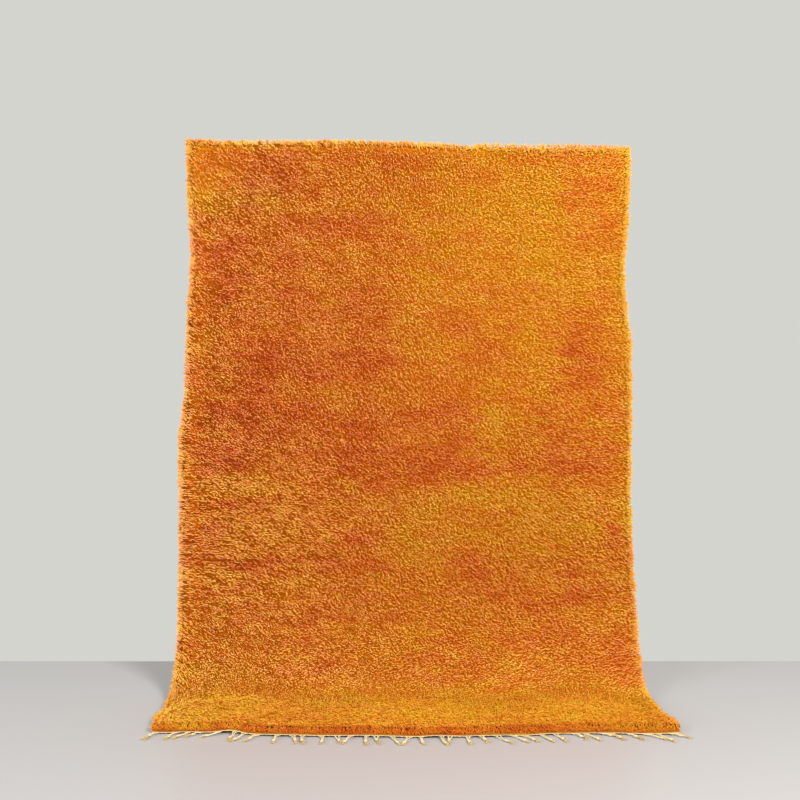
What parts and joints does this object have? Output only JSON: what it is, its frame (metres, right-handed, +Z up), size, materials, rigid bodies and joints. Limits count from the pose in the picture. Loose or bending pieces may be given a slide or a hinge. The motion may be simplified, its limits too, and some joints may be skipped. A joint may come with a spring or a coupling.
{
  "type": "hung shag pile rug",
  "caption": "Hand-knotted wool shag rug, hung from its top edge, with its foot bent forward onto the floor and a short knotted fringe along its front edge.",
  "frame": {"origin": "middle of the top edge that the rug hangs from, in the plane where the knots are tied", "axes": "+Z up, +X to the right of the pile's face, -Y out of the pile and forward over the foot"},
  "size_m": [1.7708, 0.7994, 2.0585],
  "materials": {
    "rug_pile": "matt hand-spun wool pile in uneven orange and gold",
    "fringe_yarn": "matt undyed wool, twisted and knotted",
    "weave": "matt flat-woven wool ground in ochre"
  },
  "bodies": {
    "root": {"rug": "rug_pile", "fringe": "fringe_yarn"}
  },
  "joints": []
}
